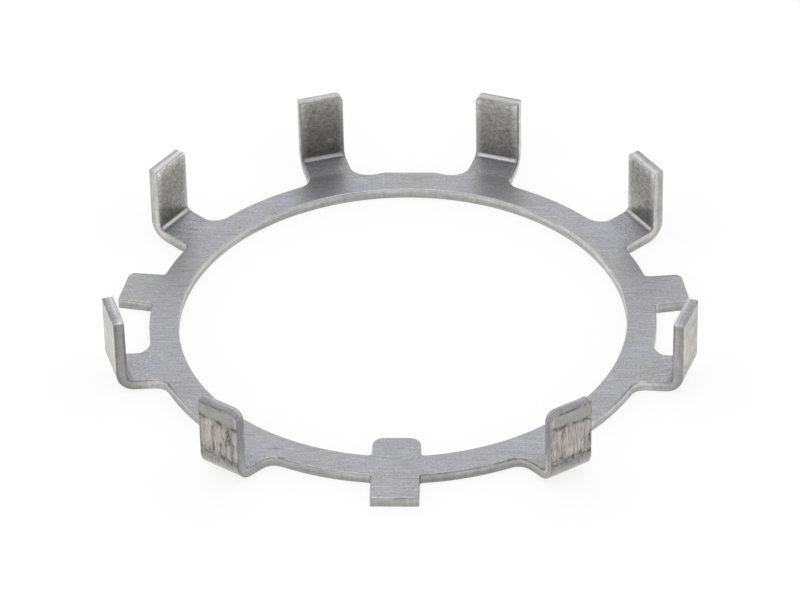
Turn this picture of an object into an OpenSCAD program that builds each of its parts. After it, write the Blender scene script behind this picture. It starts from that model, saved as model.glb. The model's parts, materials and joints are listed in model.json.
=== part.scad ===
// Tab lock washer: a flat ring with a key across it and tabs around its rim, stamped from one steel sheet.
// Eight tabs are bent up to cage the flats of a nut and two stay flat. The key fits the spindle's slot.
// The origin is on the bore axis in the ring's underside. +Z is up the bent tabs and -Y is along the key.

/* [Sheet] */
// Thickness of the sheet
sheet_t = 2.1; // [1.2:0.1:2.6]

/* [Ring] */
// Diameter of the bore, which clears the thread of the spindle
bore_d = 83.5; // [70:0.5:100]
// Width of the ring's band, from the bore to the rim between the tabs
ring_w = 5.5; // [4:0.1:9]

/* [Bent tabs] */
// Angle from the key to the first bent tab on each side, in degrees
first_tab_angle = 34.2; // [30:0.1:38]
// Angle between the two neighbours of each pair of bent tabs, in degrees
tab_pitch_angle = 37.6; // [34:0.1:40]
// Angle between the pair near the key and the pair near the pad, with a flat tab in it, in degrees
pair_gap_angle = 52.3; // [50:0.1:56]
// Width of a tab
tab_w = 8.65; // [6:0.05:11]
// Distance from the rim to the outer face of a bent tab
tab_reach = 8.65; // [8:0.05:14]
// Height of the bent tabs above the underside of the ring
tab_h = 16.2; // [12:0.1:24]
// Distance from the rim to the crease where a tab's root starts to rise
crease_step = 1.8; // [0.8:0.1:2]
// Slope of a tab's root between that crease and the elbow, in degrees
root_slope = 10.5; // [4:0.5:16]
// Inner radius of the gentle bend along the crease
crease_r = 5; // [2:0.5:7]
// Inner radius of the elbow, where the tab turns upright
elbow_inner_r = 0.9; // [0.5:0.1:2.5]
// Outer radius of the elbow
elbow_outer_r = 4; // [3:0.1:4.6]
// Radius of the rounded top corner of the two tabs next to the key
first_tab_corner_r = 2; // [0.5:0.1:4]
// Radius of the rounded top corner of the two tabs next to the pad
last_tab_corner_r = 1.1; // [0.5:0.1:4]
// Radius of the rounded top corner of the four tabs between those
mid_tab_corner_r = 0.6; // [0.5:0.1:4]

/* [Key and flat tabs] */
// Width of the key
key_w = 8.8; // [6:0.1:12]
// Length of the key inside the bore
key_inner_l = 5.4; // [3:0.1:8]
// Radius of the key's inner corners
key_corner_r = 2.1; // [0.5:0.1:2.8]
// Distance from the rim to the ends of the key and of the flat tabs
flat_reach = 6.5; // [4:0.1:9]
// Angle from the key to the middle of each flat tab, in degrees
flat_tab_angle = 100.5; // [98:0.1:103]
// Extra width of a flat tab at the rim, on its side away from the key
flat_tab_flare = 0.6; // [0.2:0.1:1.5]
// Radius of a flat tab's rounded outer corner
flat_corner_r = 1.3; // [0.5:0.1:3]

/* [Root fillets] */
// Radius of the wide fillets between a bent tab and the rim
wide_fillet_r = 3.9; // [3:0.1:5]
// Radius of the medium fillets between a bent tab and the rim
mid_fillet_r = 2.8; // [2:0.1:4]
// Radius of the tight fillets between a bent tab and the rim
tight_fillet_r = 1.5; // [0.8:0.1:2.5]
// Radius of the smallest fillets, at the key and the flat tabs
least_fillet_r = 0.7; // [0.3:0.1:1.5]

/* [Shear pad] */
// Width of the straight pad where the blank was cut from its strip
pad_w = 9.7; // [6:0.1:12]
// How far the pad stands out from the rim
pad_proud = 0.2; // [0.1:0.1:1.2]
// Width of the sloping shoulder on each side of the pad
pad_shoulder_w = 3.4; // [3:0.1:6]
// Slope of those shoulders, in degrees
pad_shoulder_slope = 18; // [12:1:24]

/* [Hidden] */
$fn = 96;

bore_r = bore_d / 2;
rim_r = bore_r + ring_w;
mid_r = bore_r + ring_w / 2;
face_r = rim_r + tab_reach;
flat_r = rim_r + flat_reach;
key_inner_r = bore_r - key_inner_l;

// Each row is one tab of a mirrored two, in order from the key round to the pad: its angle from the key,
// the fillets on its side towards the key and on its other side, and the side and radius of its rounded
// corner. The angles put the tabs at near-even steps of a hexagon nut's flats, so one always meets a flat.
towards_key = -1;
away_from_key = 1;
second_pair_angle = first_tab_angle + tab_pitch_angle + pair_gap_angle;
bent_tabs = [
    [first_tab_angle, mid_fillet_r, tight_fillet_r, towards_key, first_tab_corner_r],
    [first_tab_angle + tab_pitch_angle, mid_fillet_r, wide_fillet_r, towards_key, mid_tab_corner_r],
    [second_pair_angle, tight_fillet_r, wide_fillet_r, away_from_key, mid_tab_corner_r],
    [second_pair_angle + tab_pitch_angle, mid_fillet_r, wide_fillet_r, away_from_key, last_tab_corner_r]
];

// Reach of a cutting shape past what it cuts, and of a joining shape into what it joins
spare = 1;
// Depth by which a rounding runs into the edges that it joins
blend = 0.005;
// Half the width over which the bent section is swept, past the fillets of the root
sweep_half_w = tab_w / 2 + 2 * wide_fillet_r;

function unit(angle) = [cos(angle), sin(angle)];

// Turns a shape drawn along +X to a direction measured from the key, towards +X
module from_key(angle) {
    rotate(angle - 90) children();
}

// What is drawn, and its mirror image across the part
module mirrored_pair() {
    children();
    mirror([1, 0, 0]) children();
}

// Gives an outline walls that pass the bent tabs above and below
module upright() {
    translate([0, 0, -spare]) linear_extrude(tab_h + 2 * spare) children();
}

// What rounding takes off an outer corner. The angles are the outward directions of the two edges
// that meet there, in order round the outline.
module corner_waste(corner, from_angle, to_angle, r) {
    bisector = unit((from_angle + to_angle) / 2) / cos((to_angle - from_angle) / 2);
    translate(corner - (r - blend) * bisector) difference() {
        polygon((r + spare) * [[0, 0], unit(from_angle), bisector, unit(to_angle)]);
        circle(r);
    }
}

// What a fillet adds in the inner corner between a round edge and a straight edge that runs along X.
// The straight edge is at y = half_w for side = 1 and at y = -half_w for side = -1, and the corner is
// outside the round edge for way = 1 and inside it for way = -1.
module corner_fillet(edge_r, half_w, r, way, side) {
    centre_r = edge_r + way * (r - blend);
    centre_y = half_w + r - blend;
    centre_x = sqrt(centre_r ^ 2 - centre_y ^ 2);
    corner_x = sqrt(edge_r ^ 2 - half_w ^ 2);
    inner_share = (edge_r - way * spare) / centre_r;
    before_centre = [centre_x, side * (half_w - spare)];
    after_centre = inner_share * [centre_x, side * centre_y];
    turn = way * side;
    difference() {
        polygon([
            [corner_x - way * spare, side * (half_w - spare)],
            turn > 0 ? before_centre : after_centre,
            [centre_x, side * centre_y],
            turn > 0 ? after_centre : before_centre
        ]);
        translate([centre_x, side * centre_y]) circle(r);
    }
}

// All that lies above one face of the bent sheet, in the plane of the tab's radius and height:
// above its underside for lift = 0, and above its upper face for lift = sheet_t
module above_face(lift, elbow_r) {
    start_r = mid_r - spare - lift;
    end_r = face_r - lift;
    crease = [rim_r + crease_step - lift * tan(root_slope / 2), lift];
    elbow = [end_r, lift + (end_r - crease[0]) * tan(root_slope)];
    difference() {
        polygon([[start_r, lift], crease, elbow, [end_r, tab_h + lift], [start_r, tab_h + lift]]);
        corner_waste(crease, -90, root_slope - 90, crease_r + sheet_t - lift);
        corner_waste(elbow, root_slope - 90, 0, elbow_r);
    }
}

module bent_section() {
    difference() {
        above_face(0, elbow_outer_r);
        above_face(sheet_t, elbow_inner_r);
    }
}

// The tab's outline seen from above, with a fillet on each side of its root
module tab_outline(key_side_r, far_side_r) {
    translate([mid_r, -tab_w / 2]) square([face_r - mid_r + spare, tab_w]);
    corner_fillet(rim_r, tab_w / 2, key_side_r, 1, towards_key);
    corner_fillet(rim_r, tab_w / 2, far_side_r, 1, away_from_key);
}

module bent_tab(key_side_r, far_side_r, round_side, corner_r) {
    round_from = round_side == away_from_key ? 0 : 90;
    difference() {
        intersection() {
            rotate([90, 0, 0]) linear_extrude(2 * sweep_half_w, center = true) bent_section();
            upright() tab_outline(key_side_r, far_side_r);
        }
        translate([mid_r, 0, 0]) rotate([90, 0, 90]) linear_extrude(face_r)
            corner_waste([round_side * tab_w / 2, tab_h], round_from, round_from + 90, corner_r);
    }
}

module key() {
    difference() {
        translate([key_inner_r, -key_w / 2]) square([flat_r - key_inner_r, key_w]);
        corner_waste([key_inner_r, key_w / 2], 90, 180, key_corner_r);
        corner_waste([key_inner_r, -key_w / 2], 180, 270, key_corner_r);
    }
    for (side = [-1, 1]) {
        corner_fillet(rim_r, key_w / 2, least_fillet_r, 1, side);
        corner_fillet(bore_r, key_w / 2, least_fillet_r, -1, side);
    }
}

module flat_tab() {
    half_w = tab_w / 2;
    flare_angle = atan(flat_tab_flare / flat_reach);
    flare_half_w = (half_w + flat_tab_flare) * cos(flare_angle) + rim_r * sin(flare_angle);
    difference() {
        polygon([
            [mid_r, -half_w],
            [flat_r, -half_w],
            [flat_r, half_w],
            [rim_r, half_w + flat_tab_flare],
            [mid_r, half_w]
        ]);
        corner_waste([flat_r, half_w], 0, 90 - flare_angle, flat_corner_r);
    }
    corner_fillet(rim_r, half_w, least_fillet_r, 1, towards_key);
    rotate(-flare_angle) corner_fillet(rim_r, flare_half_w, least_fillet_r, 1, away_from_key);
}

module shear_pad() {
    pad_end = [rim_r + pad_proud, pad_w / 2];
    shoulder_end = pad_end + pad_shoulder_w * [-tan(pad_shoulder_slope), 1];
    polygon([
        [mid_r, -shoulder_end[1]],
        [shoulder_end[0], -shoulder_end[1]],
        [pad_end[0], -pad_end[1]],
        pad_end,
        shoulder_end,
        [mid_r, shoulder_end[1]]
    ]);
}

// One half of all that stays flat, from the middle of the key round to the middle of the pad
module half_blank() {
    intersection() {
        union() {
            difference() {
                circle(rim_r);
                circle(bore_r);
            }
            from_key(0) key();
            from_key(180) shear_pad();
            from_key(flat_tab_angle) flat_tab();
        }
        translate([0, -flat_r - spare]) square(2 * (flat_r + spare));
    }
}

module lock_washer() {
    color("silver") mirrored_pair() {
        linear_extrude(sheet_t) half_blank();
        for (tab = bent_tabs)
            from_key(tab[0]) bent_tab(tab[1], tab[2], tab[3], tab[4]);
    }
}

lock_washer();
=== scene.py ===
import json
from math import atan, atan2, cos, degrees, pi, radians, sin, sqrt, tan

import bmesh
import bpy
from mathutils import Matrix, Vector


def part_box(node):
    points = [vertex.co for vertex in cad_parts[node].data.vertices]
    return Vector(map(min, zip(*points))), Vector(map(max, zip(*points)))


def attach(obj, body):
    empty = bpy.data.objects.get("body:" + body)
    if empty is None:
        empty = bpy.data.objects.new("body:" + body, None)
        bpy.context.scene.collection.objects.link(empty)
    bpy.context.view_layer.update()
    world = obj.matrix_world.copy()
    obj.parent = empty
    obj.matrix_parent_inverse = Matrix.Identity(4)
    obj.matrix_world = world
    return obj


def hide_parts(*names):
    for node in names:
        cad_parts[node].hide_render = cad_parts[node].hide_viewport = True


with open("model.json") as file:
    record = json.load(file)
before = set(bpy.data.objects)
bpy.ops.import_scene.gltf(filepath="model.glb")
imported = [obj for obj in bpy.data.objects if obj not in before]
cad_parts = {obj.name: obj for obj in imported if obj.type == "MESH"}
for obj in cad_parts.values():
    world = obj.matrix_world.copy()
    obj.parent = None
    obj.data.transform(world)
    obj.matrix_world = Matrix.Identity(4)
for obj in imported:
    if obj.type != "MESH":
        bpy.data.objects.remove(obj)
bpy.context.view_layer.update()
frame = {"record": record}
scene = bpy.context.scene
nodeName = "lock_washer"
toMetres = 0.001  # the sheet is drawn in millimetres

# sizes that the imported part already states
boreMount = next(m for m in frame["record"]["mounts"] if m["name"] == "spindle_bore")
boreR = boreMount["dims"]["r_mm"]
sheetT = boreMount["dims"]["length_mm"]
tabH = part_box(nodeName)[1].z / toMetres

washer = {
    "ringW": 5.5,
    "tabAngles": (34.2, 71.8, 124.1, 161.7),  # bent tabs, in degrees from the key on both sides
    "tabW": 8.65,
    "tabReach": 8.65,  # rim to the outer face of a bent tab
    "creaseStep": 1.8,  # rim to the crease of a tab's root
    "rootSlope": radians(10.5),
    "creaseR": 5.0,  # inner radius of the gentle bend at the crease
    "elbowInnerR": 0.9,
    "elbowOuterR": 4.0,
    "keyW": 8.8,
    "keyInnerL": 5.4,
    "keyCornerR": 2.1,
    "flatReach": 6.5,  # rim to the ends of the key and the flat tabs
    "flatTabAngle": 100.5,
    "flatTabFlare": 0.6,
    "flatCornerR": 1.3,
    "wideFillet": 3.9,
    "midFillet": 2.8,
    "tightFillet": 1.5,
    "leastFillet": 0.7,
    "padW": 9.7,
    "padProud": 0.2,
    "padShoulderSlope": radians(18),
    "firstTabCorner": 2.0,  # rounded top corners of the bent tabs
    "midTabCorner": 0.6,
    "lastTabCorner": 1.1,
    "rollEdge": 0.26,  # width of the rolled upper edge
    "burrEdge": 0.1,  # the lower edge is nearly sharp
    "squareEdge": 0.22,  # upright edges at corners that the die left square
    "sharpAngle": radians(60),  # edges at least this sharp are rolled
    "rimStep": 1.5,  # degrees between neighbouring vertices of the rim and the bore
    "cornerStep": 9.0,  # the same on corners and fillets
    "ringSectors": 24,  # in half of the ring
    "bendCuts": (4, 6, 24, 6),  # parts of a tab's crease, root, elbow and upright
}
mergeDist = 1e-4
cutDist = 1e-5

rimR = boreR + washer["ringW"]
midR = boreR + washer["ringW"] / 2
faceR = rimR + washer["tabReach"]
flatR = rimR + washer["flatReach"]
keyInnerR = boreR - washer["keyInnerL"]
origin = Vector((0, 0, 0))
firstTab, secondTab, thirdTab, lastTab = washer["tabAngles"]
sheetIndex, wallIndex, bendIndex = range(3)  # face materials: rolled sheet, sheared walls, scuffed bends

# angle from the key, key-side fillet, far-side fillet, key-side corner, far-side corner
bentTabs = [
    (firstTab, washer["midFillet"], washer["tightFillet"], washer["firstTabCorner"], 0),
    (secondTab, washer["midFillet"], washer["wideFillet"], washer["midTabCorner"], 0),
    (thirdTab, washer["tightFillet"], washer["wideFillet"], 0, washer["midTabCorner"]),
    (lastTab, washer["midFillet"], washer["wideFillet"], 0, washer["lastTabCorner"]),
]

creaseMidR = washer["creaseR"] + sheetT / 2
elbowMidR = washer["elbowOuterR"] - sheetT / 2
elbowTurn = pi / 2 - washer["rootSlope"]


# lengths of crease, sloped root, elbow and upright along one face of a tab, each as straights and turns
def facePath(lift, elbowR):
    slope = washer["rootSlope"]
    creaseX = rimR + washer["creaseStep"] - (sheetT / 2 + lift) * tan(slope / 2)
    rise = faceR - sheetT / 2 - lift - creaseX
    creaseBack = (creaseMidR - lift) * tan(slope / 2)
    elbowBack = (elbowMidR - lift) * tan(elbowTurn / 2)
    spare = elbowBack - elbowR * tan(elbowTurn / 2)  # straights beside an elbow that isn't concentric
    return [
        [((creaseMidR - lift) * slope, slope)],
        [(rise / cos(slope) - creaseBack - elbowBack, 0)],
        [(spare, 0), (elbowR * elbowTurn, elbowTurn), (spare, 0)],
        [(tabH - sheetT / 2 - lift - rise * tan(slope) - elbowBack, 0)],
    ]


def spanLength(span):
    return sum(length for length, turn in span)


# where a tab starts to bend and where it ends, from the axis, on the flat sheet
bendStart = rimR + washer["creaseStep"] - sheetT / 2 * tan(washer["rootSlope"] / 2)
bendStart -= creaseMidR * tan(washer["rootSlope"] / 2)
midSpans = [spanLength(span) for span in facePath(0, elbowMidR)]
tabEnd = bendStart + sum(midSpans)


def place(phi, radial, lateral):
    a = radians(phi)
    return Vector((radial * sin(a) + lateral * cos(a), lateral * sin(a) - radial * cos(a), 0))


# a pen that draws the blank's outline, one extruded vertex at a time
def lineTo(bm, vert, point):
    new = bmesh.ops.extrude_vert_indiv(bm, verts=[vert])["verts"][0]
    new.co = point
    return new


def arcTo(bm, vert, centre, point, turn, stepDeg):
    a = vert.co.xy - centre.xy
    b = Vector(point).xy - centre.xy
    sweep = atan2(a.x * b.y - a.y * b.x, a.dot(b))
    if sweep * turn < 0:
        sweep += 2 * pi * turn
    steps = max(2, round(abs(degrees(sweep)) / stepDeg))
    made = bmesh.ops.spin(bm, geom=[vert], cent=centre, axis=(0, 0, 1), angle=sweep, steps=steps)
    end = [g for g in made["geom_last"] if isinstance(g, bmesh.types.BMVert)][0]
    end.co = point
    return end


def rimTo(bm, vert, point, turn):
    return arcTo(bm, vert, origin, point, turn, washer["rimStep"])


def cornerTo(bm, vert, centre, point, turn):
    return arcTo(bm, vert, centre, point, turn, washer["cornerStep"])


# centre and ends of the arc between a round edge and a straight one, outside the round edge for way = 1
def fillet(edgeR, phi, lateral, r, way):
    side = 1 if lateral > 0 else -1
    cy = lateral + side * r
    cx = sqrt((edgeR + way * r) ** 2 - cy ** 2)
    share = edgeR / (edgeR + way * r)
    return place(phi, cx, cy), place(phi, share * cx, share * cy), place(phi, cx, lateral)


def roundCorner(bm, vert, phi, endR, lateral, r, lean=0.0):
    # the outline reaches the corner and leaves it again, turning left by 90 degrees less the lean
    if r == 0:
        return lineTo(bm, vert, place(phi, endR, lateral))
    side = 1 if lateral > 0 else -1
    reach = r * tan((pi / 2 - lean) / 2)
    centre = place(phi, endR - r, lateral - side * reach)
    square = place(phi, endR, lateral - side * reach)
    flank = place(phi, endR - r + r * sin(lean), lateral - side * reach + side * r * cos(lean))
    first, last = (flank, square) if side < 0 else (square, flank)
    return cornerTo(bm, lineTo(bm, vert, first), centre, last, 1)


def drawTab(bm, vert, phi, endR, nearFillet, farFillet, nearCorner, farCorner, flare):
    halfW = washer["tabW"] / 2
    centre, onRim, onSide = fillet(rimR, phi, -halfW, nearFillet, 1)
    rootNear = rimTo(bm, vert, onRim, 1)
    vert = cornerTo(bm, rootNear, centre, onSide, -1)
    vert = roundCorner(bm, vert, phi, endR, -halfW, nearCorner)
    lean = atan(flare / (endR - rimR))
    vert = roundCorner(bm, vert, phi, endR, halfW, farCorner, lean)
    farW = (halfW + flare) * cos(lean) + rimR * sin(lean)
    centre, onRim, onSide = fillet(rimR, phi - degrees(lean), farW, farFillet, 1)
    rootFar = cornerTo(bm, lineTo(bm, vert, onSide), centre, onRim, -1)
    return rootNear, rootFar


# half of the flat blank, from the middle of the key round to the pad and back along the bore
def drawHalfBlank(bm):
    w = washer
    keyHalfW = w["keyW"] / 2
    first = bm.verts.new(place(0, flatR, 0))
    vert = lineTo(bm, first, place(0, flatR, keyHalfW))
    centre, onRim, onSide = fillet(rimR, 0, keyHalfW, w["leastFillet"], 1)
    vert = cornerTo(bm, lineTo(bm, vert, onSide), centre, onRim, -1)

    roots = []
    flatTab = (w["flatTabAngle"], w["leastFillet"], w["leastFillet"], 0, w["flatCornerR"])
    for phi, *roundings in sorted(bentTabs + [flatTab]):
        bent = phi in w["tabAngles"]
        endR, flare = (tabEnd, 0) if bent else (flatR, w["flatTabFlare"])
        near, vert = drawTab(bm, vert, phi, endR, *roundings, flare)
        if bent:
            roots.append((near, vert))

    # each shoulder of the pad slopes down from the pad's corner until it meets the rim
    padR, padHalfW = rimR + w["padProud"], w["padW"] / 2
    slope = tan(w["padShoulderSlope"])
    a, b = 1 + slope * slope, padHalfW - padR * slope
    c = padR ** 2 + padHalfW ** 2 - rimR ** 2
    shoulder = (-b - sqrt(b * b - a * c)) / a
    vert = rimTo(bm, vert, place(180, padR - shoulder * slope, -padHalfW - shoulder), 1)
    vert = lineTo(bm, vert, place(180, padR, -padHalfW))
    vert = lineTo(bm, vert, place(180, padR, 0))

    vert = lineTo(bm, vert, place(180, boreR, 0))
    centre, onBore, onSide = fillet(boreR, 0, keyHalfW, w["leastFillet"], -1)
    vert = rimTo(bm, vert, onBore, -1)
    vert = cornerTo(bm, vert, centre, onSide, -1)
    r = w["keyCornerR"]
    vert = lineTo(bm, vert, place(0, keyInnerR + r, keyHalfW))
    centre = place(0, keyInnerR + r, keyHalfW - r)
    vert = cornerTo(bm, vert, centre, place(0, keyInnerR, keyHalfW - r), 1)
    vert = lineTo(bm, vert, place(0, keyInnerR, 0))
    bmesh.ops.contextual_create(bm, geom=[vert, first])
    bmesh.ops.contextual_create(bm, geom=bm.edges[:])
    return roots


def cutAcross(bm, faces, point, normal):
    geom = dict.fromkeys(faces)  # in order, and each edge and vertex once
    for f in faces:
        geom.update(dict.fromkeys([*f.edges, *f.verts]))
    cut = bmesh.ops.bisect_plane(bm, geom=list(geom), dist=cutDist, plane_co=point, plane_no=normal)
    return [g for g in cut["geom"] if isinstance(g, bmesh.types.BMFace)]


def bendStations():
    stations, s = [], bendStart
    for length, parts in zip(midSpans, washer["bendCuts"]):
        stations += [s + length * i / parts for i in range(parts)]
        s += length
    return stations


def makeBlank():
    bm = bmesh.new()
    roots = drawHalfBlank(bm)
    for root in roots:  # each tab becomes a face of its own, cut across where it bends
        bmesh.ops.connect_vert_pair(bm, verts=root)
    ringFaces = [f for f in bm.faces if min(v.co.xy.length for v in f.verts) < midR]
    tabFaces = [f for f in bm.faces if f not in ringFaces]
    for f in tabFaces:
        middle = f.calc_center_median()
        phi = min(washer["tabAngles"], key=lambda at: (place(at, rimR, 0) - middle).length)
        faces = [f]
        for s in bendStations():
            faces = cutAcross(bm, faces, place(phi, s, 0), place(phi, 1, 0))
    sectors = washer["ringSectors"]
    for i in range(1, sectors):
        ringFaces = cutAcross(bm, ringFaces, origin, place(180 / sectors * i, 0, 1))
    halfBlank = bm.verts[:] + bm.edges[:] + bm.faces[:]
    bmesh.ops.mirror(bm, geom=halfBlank, merge_dist=mergeDist, axis="X")
    bmesh.ops.remove_doubles(bm, verts=bm.verts, dist=mergeDist)
    bmesh.ops.recalc_face_normals(bm, faces=bm.faces)
    return bm


# the bent tab that a point of the flat sheet is on: its angle, and how far out and across it the point lies
def tabOf(co):
    for tabAngle in washer["tabAngles"]:
        for phi in (tabAngle, -tabAngle):
            a = radians(phi)
            radial = co.x * sin(a) - co.y * cos(a)
            lateral = co.x * cos(a) + co.y * sin(a)
            if radial > rimR and abs(lateral) < washer["tabW"]:
                return phi, radial, lateral
    return None


# extruding makes the walls in no fixed order, so they are put in one that is the same on every run
def sortWalls(bm):
    bm.verts.index_update()
    count = len(bm.verts)

    def rank(element):
        first, second, third = (sorted(v.index for v in element.verts) + [0])[:3]
        return (first * count + second) * count + third

    bm.edges.sort(key=rank)
    bm.faces.sort(key=rank)


def thicken(bm):
    top = bmesh.ops.extrude_face_region(bm, geom=bm.faces[:])["geom"]
    topVerts = [g for g in top if isinstance(g, bmesh.types.BMVert)]
    bmesh.ops.translate(bm, vec=(0, 0, sheetT), verts=topVerts)
    sortWalls(bm)
    bmesh.ops.recalc_face_normals(bm, faces=bm.faces)
    weight = bm.edges.layers.float.new("bevel_weight_edge")
    for e in bm.edges:
        if len(e.link_faces) != 2 or e.calc_face_angle() < washer["sharpAngle"]:
            continue
        z0, z1 = (v.co.z for v in e.verts)
        if abs(z0 - z1) > sheetT / 2:
            width = washer["squareEdge"]
        elif (z0 + z1) / 2 < sheetT / 2:
            width = washer["burrEdge"]
        else:
            width = washer["rollEdge"]
        e[weight] = width / washer["rollEdge"]
    for f in bm.faces:
        f.material_index = wallIndex if abs(f.normal.z) < 0.5 else sheetIndex
        f.smooth = True


def rollEdges(bm):
    mesh = bpy.data.meshes.new("flatSheet")
    bm.to_mesh(mesh)
    sheet = bpy.data.objects.new("flatSheet", mesh)
    scene.collection.objects.link(sheet)
    roll = sheet.modifiers.new("rolledEdges", "BEVEL")
    roll.width = washer["rollEdge"]
    roll.segments = 3
    roll.profile = 0.5
    roll.limit_method = "WEIGHT"
    roll.use_clamp_overlap = False
    rolled = bmesh.new()
    rolled.from_object(sheet, bpy.context.evaluated_depsgraph_get())
    bpy.data.objects.remove(sheet)
    bpy.data.meshes.remove(mesh)
    return rolled


facePaths = [
    (-sheetT / 2, facePath(-sheetT / 2, washer["elbowOuterR"])),
    (sheetT / 2, facePath(sheetT / 2, washer["elbowInnerR"])),
]


def facePoint(s, lift, path):
    x, z, lean, reached = bendStart, sheetT / 2 + lift, 0, bendStart
    for span, midLength in zip(path, midSpans):
        share = min(max((s - reached) / midLength, 0), 1)
        left = share * spanLength(span)
        reached += midLength
        for length, turn in span:
            part = min(left, length)
            left -= part
            if turn:
                r = length / turn
                x += r * (sin(lean + part / r) - sin(lean))
                z += r * (cos(lean) - cos(lean + part / r))
                lean += part / r
            else:
                x += part * cos(lean)
                z += part * sin(lean)
    return Vector((x, z))


def bendPoint(s, lift):
    outer, inner = (facePoint(s, faceLift, path) for faceLift, path in facePaths)
    return outer.lerp(inner, lift / sheetT + 0.5)


def ramp(x, points):
    for (x0, y0), (x1, y1) in zip(points, points[1:]):
        if x < x1:
            return y0 + (y1 - y0) * max(x - x0, 0) / (x1 - x0)
    return points[-1][1]


# how a bent tab looks: painted shade and highlights on its root, elbow and inner face, and its tones and
# marks elsewhere
usualLook = {
    "root": 0.9,  # painted shade of the sloped root
    "elbow": 1.0,  # painted highlight on the elbow's inside
    "low": 0.8,  # painted shade of the inner face near the elbow
    "high": 0.8,  # painted shade of the inner face near the end
    "innerShade": 0.0,  # strength of the painted shade triangle low on that face
    "outer": 1.0,  # tone of the outer face
    "scuffs": 0.8,  # strength of the die's marks on it
    "wall": 1.0,  # tone of the wall on the side of the key
    "wallBurnish": 1.9,  # height of its burnished band, mm
    "wallShadeAndGrime": 0.0,  # below zero the wall is cleaner than most
    "end": 1.0,  # tone of the sheared end
    "endBurnish": 1.6,
}
nearLook = {**usualLook, "scuffs": 1.0}
sideLook = {**usualLook, "root": 1.0, "low": 0.9, "high": 0.9}
farLook = {**usualLook, "root": 0.84, "elbow": 1.35, "innerShade": 0.28}

# right-hand tabs first
tabLooks = {
    firstTab: {**nearLook, "outer": 0.94, "wallShadeAndGrime": -1.0, "end": 0.86, "endBurnish": 2.1},
    secondTab: {
        **sideLook, "outer": 1.3, "scuffs": 0.4, "wall": 0.84, "wallBurnish": 1.5,
        "end": 1.08, "endBurnish": 2.0,
    },
    thirdTab: {
        **farLook, "low": 1.75, "high": 1.04, "wall": 1.16, "wallBurnish": 1.8,
        "end": 1.14, "endBurnish": 1.6,
    },
    lastTab: {
        **farLook, "root": 0.88, "low": 1.16, "high": 1.0, "innerShade": 0.0, "wall": 1.36, "wallBurnish": 0.5,
        "end": 1.04, "endBurnish": 1.08,
    },
    -firstTab: {
        **nearLook, "outer": 0.97, "wall": 0.96, "wallBurnish": 2.2, "wallShadeAndGrime": 0.9,
        "end": 0.84, "endBurnish": 1.8,
    },
    -secondTab: {
        **sideLook, "outer": 1.48, "scuffs": 0.25, "wall": 0.66, "wallBurnish": 1.2,
        "end": 0.98, "endBurnish": 1.5,
    },
    -thirdTab: {
        **farLook, "low": 1.4, "high": 1.1, "wall": 1.18, "wallBurnish": 1.4,
        "end": 1.17, "endBurnish": 1.1,
    },
    -lastTab: {
        **usualLook, "elbow": 0.7, "low": 0.66, "high": 0.72, "wall": 1.06, "wallBurnish": 0.6,
        "end": 1.09, "endBurnish": 0.9,
    },
}

# painted shade and highlights on a tab's upper and inner face, with places in mm along the tab from the
# start of its crease
paintedLightPlaces = {
    "root": (1.6, 4.5),  # here the root has its own painted shade
    "shade": (5.2, 5.6),  # painted shade where the root meets the elbow
    "shadeTone": 0.7,
    # painted highlight along the inside of the elbow
    "elbow": (5.95, 6.4),
    "innerFrom": 6.8,
    "innerTones": (8.0, 18.0),  # here the inner face has its low and its high painted shade
    # painted shade on the inner face, darker near the elbow
    "inner": [
        (8.0, 0.54), (8.6, 0.55), (10.6, 0.66), (12.6, 0.66),
        (14.6, 0.7), (16.6, 0.78), (18.1, 0.85), (18.9, 1.05),
    ],
    "edgeDrop": 0.01,  # mm below the upper face, where its rolled edges start
    "shadeDrop": 0.1,  # where the painted shade beside a wall starts
    "shadeAcross": 3.5,  # mm from the middle of the tab
    # painted shade beside the key-side wall of the rear tabs, by mm along the tab
    "wallShadeAndGrime": [(5, 1), (9, 0.5)],
    # painted highlight on the far-side rolled edge of the last tab
    "brightEdge": [(7, 1), (10, 1.6), (18, 1.6), (19, 0.8)],
    # the third tab lighter towards its end
    "brightEnd": [(18.9, 1), (19.5, 1.25)],
    # painted highlight on the rolled edges of the first tab
    "edgeHighlights": [(6, 1), (9, 2.0), (18, 2.0), (19, 1.7)],
}


def paintedLightTone(phi, along):
    look = tabLooks[phi]
    innerTone = ramp(along, list(zip(paintedLightPlaces["innerTones"], (look["low"], look["high"]))))
    points = [(0, 1)]
    points += [(at, look["root"]) for at in paintedLightPlaces["root"]]
    points += [(at, look["root"] * paintedLightPlaces["shadeTone"]) for at in paintedLightPlaces["shade"]]
    points += [(at, look["elbow"]) for at in paintedLightPlaces["elbow"]]
    points += [(paintedLightPlaces["innerFrom"], look["low"] * paintedLightPlaces["inner"][0][1])]
    points += [(at, tone * innerTone) for at, tone in paintedLightPlaces["inner"]]
    return ramp(along, points)


# painted shade beside the key-side walls of the rear tabs, painted highlights on the rolled edges of the
# first and the last tab, and the third tab lighter towards its end
def paintedEdgeLight(phi, along, lateral, z):
    tab, share = abs(phi), 1.0
    onEdge = z < sheetT - paintedLightPlaces["edgeDrop"]
    besideWall = z < sheetT - paintedLightPlaces["shadeDrop"] and abs(lateral) > paintedLightPlaces["shadeAcross"]
    if tab in (thirdTab, lastTab) and besideWall and lateral * phi < 0:
        share *= ramp(along, paintedLightPlaces["wallShadeAndGrime"])
    if tab == lastTab and onEdge and lateral * phi > 0:
        share *= ramp(along, paintedLightPlaces["brightEdge"])
    if tab == thirdTab:
        share *= ramp(along, paintedLightPlaces["brightEnd"])
    if tab == firstTab and onEdge:
        share *= ramp(along, paintedLightPlaces["edgeHighlights"])
    return share


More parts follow.
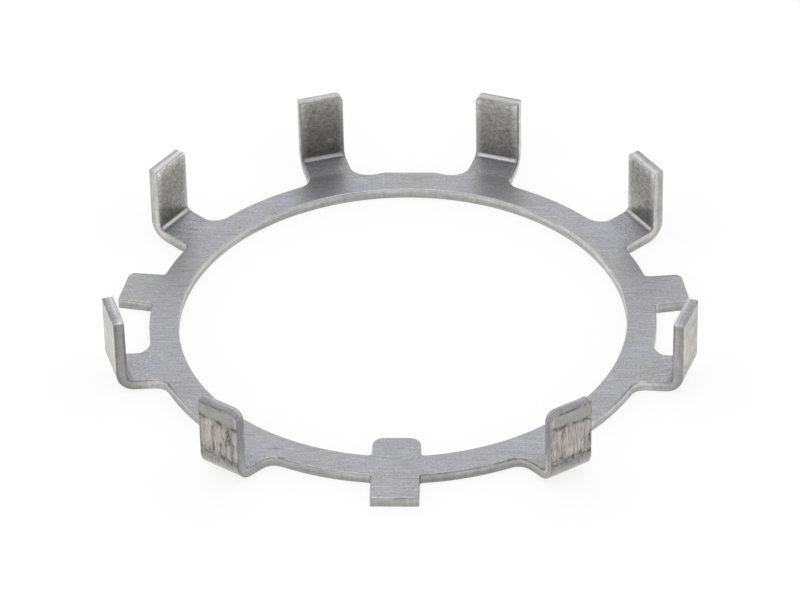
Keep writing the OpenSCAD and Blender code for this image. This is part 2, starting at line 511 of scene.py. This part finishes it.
def bendTabs(bm):
    blank = bm.verts.layers.float_vector.new("blank")  # where each point was on the flat sheet
    tabPlace = bm.verts.layers.float_vector.new("tabPlace")  # across, along and angle of a tab
    # painted shade and highlights on the tabs, as a share of their tone
    paintedLight = bm.verts.layers.float.new("paintedLight")
    for v in bm.verts:
        v[blank] = v.co
        v[paintedLight] = 1
        tab = tabOf(v.co)
        if tab is None or tab[1] <= bendStart:
            continue
        phi, s, lateral = tab
        along = s - bendStart
        v[tabPlace] = (lateral, along, phi)
        v[paintedLight] = paintedLightTone(phi, along) * paintedEdgeLight(phi, along, lateral, v.co.z)
        x, z = bendPoint(s, v.co.z - sheetT / 2)
        v.co = place(phi, x, lateral) + Vector((0, 0, z))


walls = {
    "burnish": 1.7,  # usual height of the burnished band, mm
    # tones by the angle from the key
    # painted shade: the rim's walls darker at the front, near the key, and lighter at the sides
    "rimTones": [
        (-180, 1.0), (-55, 1.1), (-35, 0.9), (-8, 0.86), (8, 0.79),
        (20, 0.8), (35, 0.92), (55, 1.18), (180, 1.0),
    ],
    "boreTones": [
        (-180, 1.0), (-160, 0.9), (-140, 1.02), (-120, 1.12), (0, 1.0),
        (120, 1.25), (160, 1.02), (180, 1.0),
    ],
    "flatTones": {0: 0.94, washer["flatTabAngle"]: 0.86, -washer["flatTabAngle"]: 0.94},  # key, flat tabs
    "flatSpan": 9,  # degrees to each side of those
    "flatFrom": 0.5,  # mm beyond the rim
    # grime under the rolled upper edge, by the angle from the key
    "lipGrime": [
        (-180, 0.0), (-100, 0.4), (-75, 0.2), (-32, 1.0), (-18, 0.7), (-8, 0.2),
        (5, 0.7), (30, 1.0), (75, 0.3), (95, 0.3), (115, 0.3), (180, 0.0),
    ],
    # on the bent tabs, in mm along them
    "tabFrom": 1.0,
    "sideTones": (1, 5),  # from the rim's tone to the wall's own
    "sideGrime": (3, 7),
    "endL": 3.0,
    "endTilt": [(0.35, 0), (0.5, 1)],  # upward share of the normal that makes a wall the end
    "endGrime": [(90, 1), (160, 0.25)],  # by the angle from the key
}


def flatWallTone(phi, radius):
    for at, flatTone in walls["flatTones"].items():
        if radius > rimR + walls["flatFrom"] and abs(phi - at) < walls["flatSpan"]:
            return flatTone
    return ramp(phi, walls["boreTones" if radius < midR else "rimTones"])


def toneFaces(bm):
    bm.normal_update()
    blank = bm.verts.layers.float_vector["blank"]
    tone = bm.faces.layers.float.new("tone")
    burnish = bm.faces.layers.float.new("burnish")  # height of the burnished band on a sheared wall, mm
    scuffAndShade = bm.faces.layers.float.new("scuffAndShade")  # strength of scuffs on an outer face, of painted shade on an inner face, of grime on a wall
    lip = bm.faces.layers.float.new("lip")
    for f in bm.faces:
        middle = sum((v[blank] for v in f.verts), Vector()) / len(f.verts)
        phi = degrees(atan2(middle.x, -middle.y))
        f[tone], f[burnish] = 1, walls["burnish"]
        f[lip] = ramp(phi, walls["lipGrime"])
        tab = tabOf(middle)
        if tab is None or tab[1] <= bendStart + walls["tabFrom"]:
            if f.material_index == wallIndex:
                f[tone] = flatWallTone(phi, middle.xy.length)
            continue
        phi, s, lateral = tab
        look = tabLooks[phi]
        if f.material_index == wallIndex:
            sideTone, sideGrime = ramp(phi, walls["rimTones"]), 0
            if lateral * phi < 0:
                sideTone = ramp(s - bendStart, list(zip(walls["sideTones"], (sideTone, look["wall"]))))
                sideGrime = ramp(s - bendStart, list(zip(walls["sideGrime"], (0, look["wallShadeAndGrime"]))))
            up = ramp(f.normal.z, walls["endTilt"]) if s > tabEnd - walls["endL"] else 0  # 1 on the end
            f[tone] = sideTone + (look["end"] - sideTone) * up
            f[burnish] = look["wallBurnish"] + (look["endBurnish"] - look["wallBurnish"]) * up
            f[scuffAndShade] = up * ramp(abs(phi), walls["endGrime"]) if up else sideGrime
        elif middle.z < washer["burrEdge"]:
            f.material_index = bendIndex
            f[tone], f[scuffAndShade] = look["outer"], look["scuffs"]
        else:
            f[scuffAndShade] = look["innerShade"]


def makeWasher():
    bm = makeBlank()
    print("flat blank:", len(bm.faces), "faces")
    thicken(bm)
    rolled = rollEdges(bm)
    bm.free()
    bendTabs(rolled)
    toneFaces(rolled)
    bmesh.ops.remove_doubles(rolled, verts=rolled.verts, dist=mergeDist)
    bmesh.ops.scale(rolled, vec=(toMetres, toMetres, toMetres), verts=rolled.verts)
    bmesh.ops.recalc_face_normals(rolled, faces=rolled.faces)
    mesh = bpy.data.meshes.new("lockWasher")
    rolled.to_mesh(mesh)
    rolled.free()
    piece = bpy.data.objects.new("lockWasher", mesh)
    scene.collection.objects.link(piece)
    even = piece.modifiers.new("evenShading", "WEIGHTED_NORMAL")
    even.keep_sharp = True
    print("bent washer:", len(mesh.polygons), "faces")
    return piece


lockWasher = makeWasher()


def node(tree, kind, inputs, **settings):
    new = tree.nodes.new("ShaderNode" + kind)
    for key, value in settings.items():
        setattr(new, key, value)
    for key, value in inputs.items():
        if isinstance(value, bpy.types.NodeSocket):
            tree.links.new(value, new.inputs[key])
        else:
            new.inputs[key].default_value = value
    return new


def calc(tree, operation, a, b=0.0, c=0.0):
    return node(tree, "Math", {0: a, 1: b, 2: c}, operation=operation).outputs[0]


def times(tree, a, b):
    return calc(tree, "MULTIPLY", a, b)


# the value, with a share of a mask added
def addTo(tree, value, mask, share):
    return calc(tree, "MULTIPLY_ADD", mask, share, value)


def mixColour(tree, factor, a, b, blend="MIX"):
    return node(tree, "Mix", {0: factor, 6: a, 7: b}, data_type="RGBA", blend_type=blend).outputs[2]


# in the dictionaries below, a noise is its waves on three axes, its detail and its roughness
def noise(tree, vector, waves, detail, rough):
    where = node(tree, "VectorMath", {0: vector, 1: waves}, operation="MULTIPLY").outputs[0]
    inputs = {"Vector": where, "Scale": 1.0, "Detail": detail, "Roughness": rough}
    return node(tree, "TexNoise", inputs).outputs[0]


# noise that swings about zero
def ripple(tree, vector, waves, detail, rough):
    return calc(tree, "SUBTRACT", noise(tree, vector, waves, detail, rough), 0.5)


# a smooth step from one value to another
def between(tree, value, low, high, toLow=0.0, toHigh=1.0):
    inputs = {0: value, 1: low, 2: high, 3: toLow, 4: toHigh}
    return node(tree, "MapRange", inputs, interpolation_type="SMOOTHSTEP").outputs[0]


def fade(tree, value, full, end):
    return between(tree, value, full, end, 1.0, 0.0)


# a stretch that starts, is full, begins to fade and ends
def band(tree, value, start, full, fadeFrom, end):
    return times(tree, between(tree, value, start, full), fade(tree, value, fadeFrom, end))


def distanceFrom(tree, value, middle):
    return calc(tree, "ABSOLUTE", calc(tree, "SUBTRACT", value, middle))


def attribute(tree, name, output):
    return node(tree, "Attribute", {}, attribute_name=name).outputs[output]


def axesOf(tree, vector):
    return node(tree, "SeparateXYZ", {0: vector}).outputs


# place on a tab, mm along it, mm from its middle, and mm across it away from the key
def tabAxes(tree):
    where = attribute(tree, "tabPlace", "Vector")
    across, along, tabAngle = axesOf(tree, where)
    awayFromKey = times(tree, across, calc(tree, "SIGN", tabAngle))
    return where, along, calc(tree, "ABSOLUTE", across), awayFromKey


def newGroup(name, inputs, outputs):
    tree = bpy.data.node_groups.new(name, "ShaderNodeTree")
    for label, kind in inputs:
        tree.interface.new_socket(name=label, in_out="INPUT", socket_type="NodeSocket" + kind)
    for label in outputs:
        tree.interface.new_socket(name=label, in_out="OUTPUT", socket_type="NodeSocketFloat")
    return tree, tree.nodes.new("NodeGroupInput").outputs, tree.nodes.new("NodeGroupOutput").inputs


def useGroup(tree, group, inputs):
    return node(tree, "Group", inputs, node_tree=group).outputs


# streaks and scratches that the mill's rollers left along the strip, and the cloudiness of the surface
def makeRollingGrain():
    look = {
        "streaks": ((0.3, 2.6, 1.0), 5.0, 0.7),
        "streakTone": 0.72,
        "fine": ((2.3, 4.0, 1.0), 2.0, 0.55),
        "fineTone": 0.88,
        "clouds": ((0.09, 0.16, 0.1), 4.0, 0.6),
        "cloudTone": 0.3,
        "scratches": ((0.16, 2.9, 3.0), 3.0, 0.5),
        "bright": (0.6, 0.72, 0.0, 0.25),  # range of that noise, and the tones it makes
        "dark": (0.38, 0.28, 0.0, 0.25),
    }
    tree, given, result = newGroup("rollingGrain", [("place", "Vector")], ["tone", "cloud"])
    where = given["place"]
    cloud = noise(tree, where, *look["clouds"])
    tone = addTo(tree, 1.0, ripple(tree, where, *look["streaks"]), look["streakTone"])
    tone = addTo(tree, tone, ripple(tree, where, *look["fine"]), look["fineTone"])
    tone = addTo(tree, tone, calc(tree, "SUBTRACT", cloud, 0.5), look["cloudTone"])
    scratch = noise(tree, where, *look["scratches"])
    tone = calc(tree, "ADD", tone, between(tree, scratch, *look["bright"]))
    tone = calc(tree, "SUBTRACT", tone, between(tree, scratch, *look["dark"]))
    tree.links.new(tone, result["tone"])
    tree.links.new(cloud, result["cloud"])
    return tree


# small round marks, spread at random: pits, specks of dirt, and nicks painted as bright glints
def makeSpecks():
    softEdge = (-0.08, 0.1)
    inputs = [("place", "Vector"), ("perMm", "Float"), ("share", "Float"), ("size", "Float")]
    tree, given, result = newGroup("specks", inputs, ["mask"])
    cellInputs = {"Vector": given["place"], "Scale": given["perMm"], "Randomness": 1.0}
    cells = node(tree, "TexVoronoi", cellInputs).outputs
    pick = node(tree, "SeparateColor", {0: cells["Color"]}).outputs[0]
    chosen = calc(tree, "LESS_THAN", pick, given["share"])
    inside = calc(tree, "SUBTRACT", given["size"], cells["Distance"])
    tree.links.new(times(tree, between(tree, inside, *softEdge), chosen), result["mask"])
    return tree


# marks of the bending die on a tab's outer face, by millimetres across and along the tab
def makeDieScuffs():
    look = {
        "zone": (8.6, 10.0, 16.0, 16.6),  # mm along the tab
        "zoneRag": ((1.3, 0.25, 1.0), 5.0, 0.65),
        "zoneRagL": 4.0,  # mm
        "thin": ((4.6, 0.2, 1.3), 3.0, 0.65),
        "broad": ((0.9, 0.1, 1.0), 4.0, 0.7),
        "broadShare": 0.6,
        "rubbed": (0.62, 0.9),  # range of both together
        "unrubbed": (0.78, 0.56, 0.0, 0.7),
        "lines": ((5.2, 0.14, 2.1), 2.0, 0.6),
        "patches": ((0.7, 0.18, 1.4), 4.0, 0.7),
        "patchSlice": (0, 0, -2.443),  # moves the patches about
        "patchThin": 0.4,
        "patched": (0.74, 0.52),
        "speckles": ((5.0, 1.4, 1.0), 3.0, 0.65),
        "speckled": (0.34, 0.6, 0.3, 1.0),
        "lineAt": 16.5,  # a dark line across the tab, mm along it
        "lineTilt": 0.06,
        "lineRag": ((0.7, 0.4, 1.0), 4.0, 0.65),
        "lineRagL": 2.4,  # mm
        "lineW": 0.9,
        "smudgeAt": 9.0,
        "smudgeW": 1.7,
        "breaks": ((1.1, 1.2, 2.3), 5.0, 0.75),
        "broken": (0.36, 0.6),
    }
    outputs = ["light", "dark", "smudge", "lines"]
    tree, given, result = newGroup("dieScuffs", [("tabPlace", "Vector")], outputs)
    where = given["tabPlace"]
    across, along = axesOf(tree, where)[:2]
    ragged = addTo(tree, along, ripple(tree, where, *look["zoneRag"]), look["zoneRagL"])
    zone = band(tree, ragged, *look["zone"])

    thin = noise(tree, where, *look["thin"])
    rubbed = addTo(tree, thin, noise(tree, where, *look["broad"]), look["broadShare"])
    tree.links.new(times(tree, zone, between(tree, rubbed, *look["rubbed"])), result["light"])
    tree.links.new(times(tree, zone, ripple(tree, where, *look["lines"])), result["lines"])

    patchPlace = node(tree, "VectorMath", {0: where, 1: look["patchSlice"]}, operation="ADD").outputs[0]
    patch = addTo(tree, noise(tree, patchPlace, *look["patches"]), thin, look["patchThin"])
    unrubbed = between(tree, rubbed, *look["unrubbed"])
    dark = calc(tree, "MAXIMUM", unrubbed, between(tree, patch, *look["patched"]))
    dark = times(tree, dark, between(tree, noise(tree, where, *look["speckles"]), *look["speckled"]))
    tree.links.new(times(tree, zone, dark), result["dark"])

    tilted = addTo(tree, along, across, look["lineTilt"])
    tilted = addTo(tree, tilted, ripple(tree, where, *look["lineRag"]), look["lineRagL"])
    line = fade(tree, distanceFrom(tree, tilted, look["lineAt"]), 0.0, look["lineW"])
    blot = fade(tree, distanceFrom(tree, ragged, look["smudgeAt"]), 0.0, look["smudgeW"])
    broken = between(tree, noise(tree, where, *look["breaks"]), *look["broken"])
    tree.links.new(times(tree, calc(tree, "MAXIMUM", line, blot), broken), result["smudge"])
    return tree


# burnished and torn bands of a sheared wall, with scores along the wall and tears up it
def makeShearBands():
    look = {
        "wander": ((0.35, 0.35, 0.0), 3.0, 0.55),  # of the bands' heights
        "arris": (0.25, 0.55),  # mm above the underside
        "grimy": (0.75, 1.15),  # mm above the middle of the burnished band
        "bright": (0.15, 0.95),  # mm from that middle
        "scores": ((0.14, 0.14, 3.2), 4.0, 0.65),
        "tears": ((2.6, 2.6, 0.4), 4.0, 0.6),
        "tearShare": 0.5,
    }
    inputs = [("blank", "Vector"), ("burnish", "Float")]
    tree, given, result = newGroup("shearBands", inputs, ["bright", "arris", "grimy", "score"])
    where = given["blank"]
    height = calc(tree, "ADD", ripple(tree, where, *look["wander"]), axesOf(tree, where)[2])
    tree.links.new(fade(tree, height, *look["arris"]), result["arris"])
    above = calc(tree, "SUBTRACT", height, given["burnish"])
    tree.links.new(between(tree, above, *look["grimy"]), result["grimy"])
    tree.links.new(fade(tree, calc(tree, "ABSOLUTE", above), *look["bright"]), result["bright"])
    tears = ripple(tree, where, *look["tears"])
    score = addTo(tree, noise(tree, where, *look["scores"]), tears, look["tearShare"])
    tree.links.new(score, result["score"])
    return tree


rollingGrain = makeRollingGrain()
specks = makeSpecks()
dieScuffs = makeDieScuffs()
shearBands = makeShearBands()


def newMetal(name):
    mat = bpy.data.materials.new(name)
    mat.use_nodes = True
    shader = mat.node_tree.nodes["Principled BSDF"]
    shader.inputs["Metallic"].default_value = 1
    return mat, mat.node_tree, shader


def finishMetal(tree, shader, colour, tone, rough, height, depth):
    grey = node(tree, "CombineColor", {0: tone, 1: tone, 2: tone}).outputs[0]
    tree.links.new(mixColour(tree, 1.0, colour, grey, "MULTIPLY"), shader.inputs["Base Color"])
    tree.links.new(rough, shader.inputs["Roughness"])
    bump = node(tree, "Bump", {"Strength": 1.0, "Distance": depth, "Height": height})
    tree.links.new(bump.outputs[0], shader.inputs["Normal"])


def makeRolledSteel():
    look = {
        "steel": (0.418, 0.418, 0.441, 1),
        "blued": (0.385, 0.395, 0.45, 1),
        "bluedClouds": (0.5, 0.66, 0.0, 0.8),
        "greased": (0.425, 0.416, 0.39, 1),
        "greasedFrom": (5.95, 6.9),  # mm along a tab
        "innerFrom": (6.3, 7.0),  # inner faces of the tabs, mm along them
        "wiped": -0.7,  # the die wiped the grain off those
        "glintNicks": {"perMm": 1.4, "share": 0.12, "size": 0.2},
        "glintNickTone": 0.32,
        "innerGlintNickTone": 0.35,  # more painted glint on the inner faces
        "pits": {"perMm": 1.5, "share": 0.14, "size": 0.15},
        "pitTone": -0.25,
        "blotches": ((1.1, 1.2, 1.0), 6.0, 0.8),  # on the inner faces
        "blotchTone": 2.8,
        "clusters": ((0.15, 0.15, 1.0), 3.0, 0.6),  # of painted glints
        "clustered": (0.5, 0.66),
        "glintFlecks": ((1.5, 2.1, 1.0), 4.0, 0.75),
        "flecked": (0.55, 0.7),
        "glintFleckTone": 0.45,
        "root": (0.0, 1.2, 4.8, 5.4),  # mm along a tab
        "dieMarks": ((2.2, 2.6, 1.0), 3.0, 0.7),  # on the roots
        "dieMarkTone": 1.3,
        "edge": (sheetT - 0.03, sheetT - 0.12),  # height of the rolled edges, mm
        # painted highlight on the rolled edges, with the wear's noise about it
        "paintedEdgeLight": 0.2,
        "wearAndHighlight": ((0.8, 0.8, 0.5), 4.0, 0.7),
        "edgeWear": 1.6,
        "border": (2.6, 4.2),  # rubbed borders of the inner faces, mm from the middle
        "borderTone": 0.6,
        "dentAt": (-1.55, 10.3, -lastTab),  # mm across, mm along and angle of the tab
        "dentR": 0.38,
        "dentRim": (0.05, 0.22),
        "dentTone": 0.8,
        "dentDepth": -2.0,  # as a share of the grain's
        # painted shade: a dark triangle low on the inner faces, its ragged top edge set here
        "innerShadeTo": 9.3,  # mm along a tab, at its middle
        "innerShadeSlope": -0.55,
        "innerShadeRag": ((0.8, 0.4, 1.0), 5.0, 0.7),
        "innerShadeRagL": -2.4,
        "innerShadeEdge": (-0.35, 0.35),
        "elbow": (5.6, 5.9, 6.4, 6.8),  # a painted highlight line, mm along a tab
        "elbowEnds": (3.6, 4.0),  # the painted highlight fades at the sides, mm from the middle
        "elbowEndTone": -0.45,
        "rough": 0.4,
        "grainRough": -0.15,  # the bright grain is smoother
        "grainDepth": 0.000012,  # m
    }
    mat, tree, shader = newMetal("rolledSteel")
    blank = attribute(tree, "blank", "Vector")
    where, along, offMiddle, awayFromKey = tabAxes(tree)
    inner = between(tree, along, *look["innerFrom"])
    grain = useGroup(tree, rollingGrain, {"place": blank})
    blued = between(tree, grain["cloud"], *look["bluedClouds"])
    colour = mixColour(tree, blued, look["steel"], look["blued"])
    colour = mixColour(tree, between(tree, along, *look["greasedFrom"]), colour, look["greased"])

    grained = addTo(tree, 1.0, inner, look["wiped"])
    tone = addTo(tree, 1.0, calc(tree, "SUBTRACT", grain["tone"], 1.0), grained)
    # nicks painted as bright glints
    glintNicks = useGroup(tree, specks, {"place": blank, **look["glintNicks"]})["mask"]
    tone = addTo(tree, tone, glintNicks, addTo(tree, look["glintNickTone"], inner, look["innerGlintNickTone"]))
    pits = useGroup(tree, specks, {"place": blank, **look["pits"]})["mask"]
    tone = addTo(tree, tone, pits, look["pitTone"])
    blotches = times(tree, ripple(tree, blank, *look["blotches"]), inner)
    tone = addTo(tree, tone, blotches, look["blotchTone"])
    # painted glints, in clusters
    clusters = between(tree, noise(tree, blank, *look["clusters"]), *look["clustered"])
    glintFlecks = between(tree, noise(tree, blank, *look["glintFlecks"]), *look["flecked"])
    tone = addTo(tree, tone, times(tree, clusters, glintFlecks), look["glintFleckTone"])
    dieMarks = times(tree, ripple(tree, blank, *look["dieMarks"]), band(tree, along, *look["root"]))
    tone = addTo(tree, tone, dieMarks, look["dieMarkTone"])
    # the rolled edges lighter: painted highlight, and wear
    wearAndHighlight = addTo(tree, look["paintedEdgeLight"], ripple(tree, blank, *look["wearAndHighlight"]), look["edgeWear"])
    tone = addTo(tree, tone, wearAndHighlight, between(tree, axesOf(tree, blank)[2], *look["edge"]))
    border = times(tree, between(tree, offMiddle, *look["border"]), inner)
    tone = addTo(tree, tone, border, look["borderTone"])
    dent = node(tree, "VectorMath", {0: where, 1: look["dentAt"]}, operation="DISTANCE").outputs["Value"]
    dent = fade(tree, distanceFrom(tree, dent, look["dentR"]), *look["dentRim"])
    tone = addTo(tree, tone, dent, look["dentTone"])

    # painted shade low on the inner faces, up to a ragged edge that is higher on the side of the key
    innerShadeEdge = addTo(tree, look["innerShadeTo"], ripple(tree, where, *look["innerShadeRag"]), look["innerShadeRagL"])
    innerShadeEdge = addTo(tree, innerShadeEdge, awayFromKey, look["innerShadeSlope"])
    innerShade = between(tree, calc(tree, "SUBTRACT", innerShadeEdge, along), *look["innerShadeEdge"])
    innerShade = times(tree, times(tree, innerShade, inner), attribute(tree, "scuffAndShade", "Fac"))
    tone = times(tree, tone, calc(tree, "SUBTRACT", 1.0, innerShade))
    # the painted highlight along the elbow fades at the tab's sides
    elbowEnds = times(tree, band(tree, along, *look["elbow"]), between(tree, offMiddle, *look["elbowEnds"]))
    tone = times(tree, tone, addTo(tree, 1.0, elbowEnds, look["elbowEndTone"]))
    # each tab's painted shade and highlights
    tone = times(tree, tone, attribute(tree, "paintedLight", "Fac"))

    rough = addTo(tree, look["rough"] - look["grainRough"], grain["tone"], look["grainRough"])
    height = addTo(tree, grain["tone"], dent, look["dentDepth"])
    finishMetal(tree, shader, colour, tone, rough, height, look["grainDepth"])
    return mat


def makeShearedEdge():
    look = {
        "torn": (0.4, 0.394, 0.378, 1),
        "burnished": (0.51, 0.503, 0.487, 1),
        "grimeTint": (0.95, 0.953, 1.05, 1),
        "plainTone": 0.45,
        "scoreTone": 1.1,
        "arrisTone": -0.15,  # grime on the lower arris
        "grimyTone": -0.6,  # dirt above a low burnished band
        "gleam": 0.22,  # of a burnished band beside grime
        "patches": ((0.5, 0.5, 0.9), 5.0, 0.7),
        "patchTone": 0.5,
        "lipFrom": (1.62, 1.82),  # mm above the underside
        "lipBreaks": ((0.5, 0.5, 0.0), 4.0, 0.7),
        "lipBroken": (0.36, 0.54),
        "lipTone": -0.45,
        "rough": 0.48,
        "burnishedRough": -0.12,
        "scoreDepth": 0.00003,  # m
    }
    mat, tree, shader = newMetal("shearedEdge")
    blank, grime = attribute(tree, "blank", "Vector"), attribute(tree, "scuffAndShade", "Fac")
    bands = useGroup(tree, shearBands, {"blank": blank, "burnish": attribute(tree, "burnish", "Fac")})
    colour = mixColour(tree, bands["bright"], look["torn"], look["burnished"])
    colour = mixColour(tree, grime, colour, look["grimeTint"], "MULTIPLY")

    tone = addTo(tree, look["plainTone"], bands["score"], look["scoreTone"])
    tone = addTo(tree, tone, times(tree, bands["arris"], grime), look["arrisTone"])
    tone = addTo(tree, tone, bands["grimy"], look["grimyTone"])
    gleam = times(tree, bands["bright"], calc(tree, "MAXIMUM", grime, 0.0))
    tone = addTo(tree, tone, gleam, look["gleam"])
    tone = addTo(tree, tone, ripple(tree, blank, *look["patches"]), look["patchTone"])
    lip = between(tree, axesOf(tree, blank)[2], *look["lipFrom"])
    lip = times(tree, lip, attribute(tree, "lip", "Fac"))
    lip = times(tree, lip, between(tree, noise(tree, blank, *look["lipBreaks"]), *look["lipBroken"]))
    tone = addTo(tree, tone, lip, look["lipTone"])
    tone = times(tree, tone, attribute(tree, "tone", "Fac"))
    rough = addTo(tree, look["rough"], bands["bright"], look["burnishedRough"])
    finishMetal(tree, shader, colour, tone, rough, bands["score"], look["scoreDepth"])
    return mat


def makeScuffedBend():
    look = {
        "plain": (0.4, 0.392, 0.368, 1),
        "rubbed": (0.525, 0.488, 0.454, 1),
        "strip": (0.56, 0.55, 0.53, 1),  # rubbed border on the side towards the key
        "stripAcross": (-3.6, -3.9),  # mm away from the key
        "stripAlong": (8.0, 10.0, 0.0, 0.8),  # mm along the tab, and the strength there
        "grimy": (0.1, 0.09, 0.08, 1),
        "smudge": 0.9,
        "dirt": ((0.8, 0.45, 1.4), 6.0, 0.75),
        "dirty": (0.48, 0.7, 0.0, 0.3),
        "sides": (4.0, 4.18),  # grime along the sharp edges, mm from the middle
        "end": (19.2, 19.5),  # mm along the tab
        "breaks": ((1.2, 0.5, 1.0), 4.0, 0.65),
        "broken": (0.32, 0.6, 0.0, 0.7),
        "grainTone": 0.4,
        "bendHighlightTones": (6.0, 8.0, 1.1, 0.64),  # painted highlight on the outer bend: mm along the tab, and the tones there
        "clouds": ((0.5, 0.6, 1.0), 5.0, 0.7),
        "cloudTone": 0.5,
        "lineTone": 1.1,  # fine scores among the scuffs
        "rough": 0.46,
        "rubbedRough": -0.08,
        "scuffDepth": 0.00004,  # m
    }
    mat, tree, shader = newMetal("scuffedBend")
    where, along, offMiddle, awayFromKey = tabAxes(tree)
    scuffAndShade = attribute(tree, "scuffAndShade", "Fac")
    marks = useGroup(tree, dieScuffs, {"tabPlace": where})
    grain = useGroup(tree, rollingGrain, {"place": attribute(tree, "blank", "Vector")})
    colour = mixColour(tree, times(tree, marks["light"], scuffAndShade), look["plain"], look["rubbed"])
    strip = between(tree, awayFromKey, *look["stripAcross"])
    strip = times(tree, strip, between(tree, along, *look["stripAlong"]))
    colour = mixColour(tree, strip, colour, look["strip"])

    dark = calc(tree, "MAXIMUM", marks["dark"], times(tree, marks["smudge"], look["smudge"]))
    dirt = between(tree, noise(tree, where, *look["dirt"]), *look["dirty"])
    dark = times(tree, calc(tree, "MAXIMUM", dark, dirt), scuffAndShade)
    sides = between(tree, offMiddle, *look["sides"])
    outline = calc(tree, "MAXIMUM", sides, between(tree, along, *look["end"]))
    outline = times(tree, outline, between(tree, noise(tree, where, *look["breaks"]), *look["broken"]))
    colour = mixColour(tree, calc(tree, "MAXIMUM", dark, outline), colour, look["grimy"])

    # painted highlight near the outer bend, fading along the tab
    tone = addTo(tree, between(tree, along, *look["bendHighlightTones"]), grain["tone"], look["grainTone"])
    tone = addTo(tree, tone, ripple(tree, where, *look["clouds"]), look["cloudTone"])
    tone = addTo(tree, tone, times(tree, marks["lines"], scuffAndShade), look["lineTone"])
    tone = times(tree, tone, attribute(tree, "tone", "Fac"))
    height = calc(tree, "SUBTRACT", marks["light"], marks["dark"])
    rough = addTo(tree, look["rough"], height, look["rubbedRough"])
    finishMetal(tree, shader, colour, tone, rough, height, look["scuffDepth"])
    return mat


for makeMaterial in (makeRolledSteel, makeShearedEdge, makeScuffedBend):  # in the order of the face indices
    lockWasher.data.materials.append(makeMaterial())
print("materials:", len(lockWasher.data.materials))
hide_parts(nodeName)
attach(lockWasher, "root")

studio = {
    "elevation": radians(36.3024),
    "azimuth": radians(-2.3435),
    "roll": radians(-1.1983),
    "axisOffset": (0.5525, 4.9443),  # bore axis from the middle of the picture, right and down, mm
    "distance": 915.39,  # mm
    "focalPx": 4904.7,
    "pictureW": 800,
    "sensorW": 36,
    "clip": (0.01, 50),  # m
    "skyStrength": 1.0,
    "softboxAt": (0.0, -0.25, 0.95),  # m, above the camera's side
    "softboxSize": 0.7,
    "softboxGlow": 0.8,
    "floorHalfW": 3,  # m
    "floorZ": -0.00002,  # m, just clear of the underside
    "floorColour": (0.92, 0.92, 0.92, 1),
    "floorGlow": 0.8,  # share of plain white in the floor that the camera sees
    "white": (1, 1, 1, 1),
}


def makeCamera():
    data = bpy.data.cameras.new("photoCamera")
    data.sensor_width = studio["sensorW"]
    data.lens = studio["focalPx"] / studio["pictureW"] * data.sensor_width
    data.clip_start, data.clip_end = studio["clip"]
    camera = bpy.data.objects.new("photoCamera", data)
    turn = (
        Matrix.Rotation(-studio["azimuth"], 4, "Z")
        @ Matrix.Rotation(pi / 2 - studio["elevation"], 4, "X")
        @ Matrix.Rotation(studio["roll"], 4, "Z")
    )
    right, down = studio["axisOffset"]
    where = turn @ Vector((-right, down, studio["distance"])) * toMetres
    camera.matrix_world = Matrix.Translation(where) @ turn
    scene.collection.objects.link(camera)
    scene.camera = camera


def makeFloor():
    bm = bmesh.new()
    bmesh.ops.create_grid(bm, x_segments=1, y_segments=1, size=studio["floorHalfW"])
    mesh = bpy.data.meshes.new("floor")
    bm.to_mesh(mesh)
    bm.free()
    floor = bpy.data.objects.new("floor", mesh)
    floor.location.z = studio["floorZ"]
    scene.collection.objects.link(floor)
    mat = bpy.data.materials.new("paleFloor")
    mat.use_nodes = True
    tree = mat.node_tree
    shader = tree.nodes["Principled BSDF"]
    shader.inputs["Base Color"].default_value = studio["floorColour"]
    shader.inputs["Roughness"].default_value = 1
    path = node(tree, "LightPath", {}).outputs
    seen = calc(tree, "MAXIMUM", path["Is Camera Ray"], path["Is Glossy Ray"])
    seen = calc(tree, "MAXIMUM", seen, path["Is Transmission Ray"])
    glow = node(tree, "Emission", {"Color": studio["white"], "Strength": 1.0}).outputs[0]
    share = times(tree, seen, studio["floorGlow"])
    mixed = node(tree, "MixShader", {0: share, 1: shader.outputs[0], 2: glow}).outputs[0]
    tree.links.new(mixed, tree.nodes["Material Output"].inputs["Surface"])
    mesh.materials.append(mat)


def makeLight():
    world = bpy.data.worlds.new("studio")
    world.use_nodes = True
    sky = world.node_tree.nodes["Background"].inputs
    sky["Color"].default_value = studio["white"]
    sky["Strength"].default_value = studio["skyStrength"]
    scene.world = world
    lamp = bpy.data.lights.new("softbox", "AREA")
    lamp.shape = "SQUARE"
    lamp.size = studio["softboxSize"]
    lamp.energy = studio["softboxGlow"] * pi * lamp.size ** 2
    softbox = bpy.data.objects.new("softbox", lamp)
    where = Vector(studio["softboxAt"])
    softbox.matrix_world = Matrix.Translation(where) @ where.to_track_quat("Z", "Y").to_matrix().to_4x4()
    scene.collection.objects.link(softbox)


makeCamera()
makeFloor()
makeLight()
scene.view_settings.view_transform = "Standard"
print("studio: camera, floor and softbox")
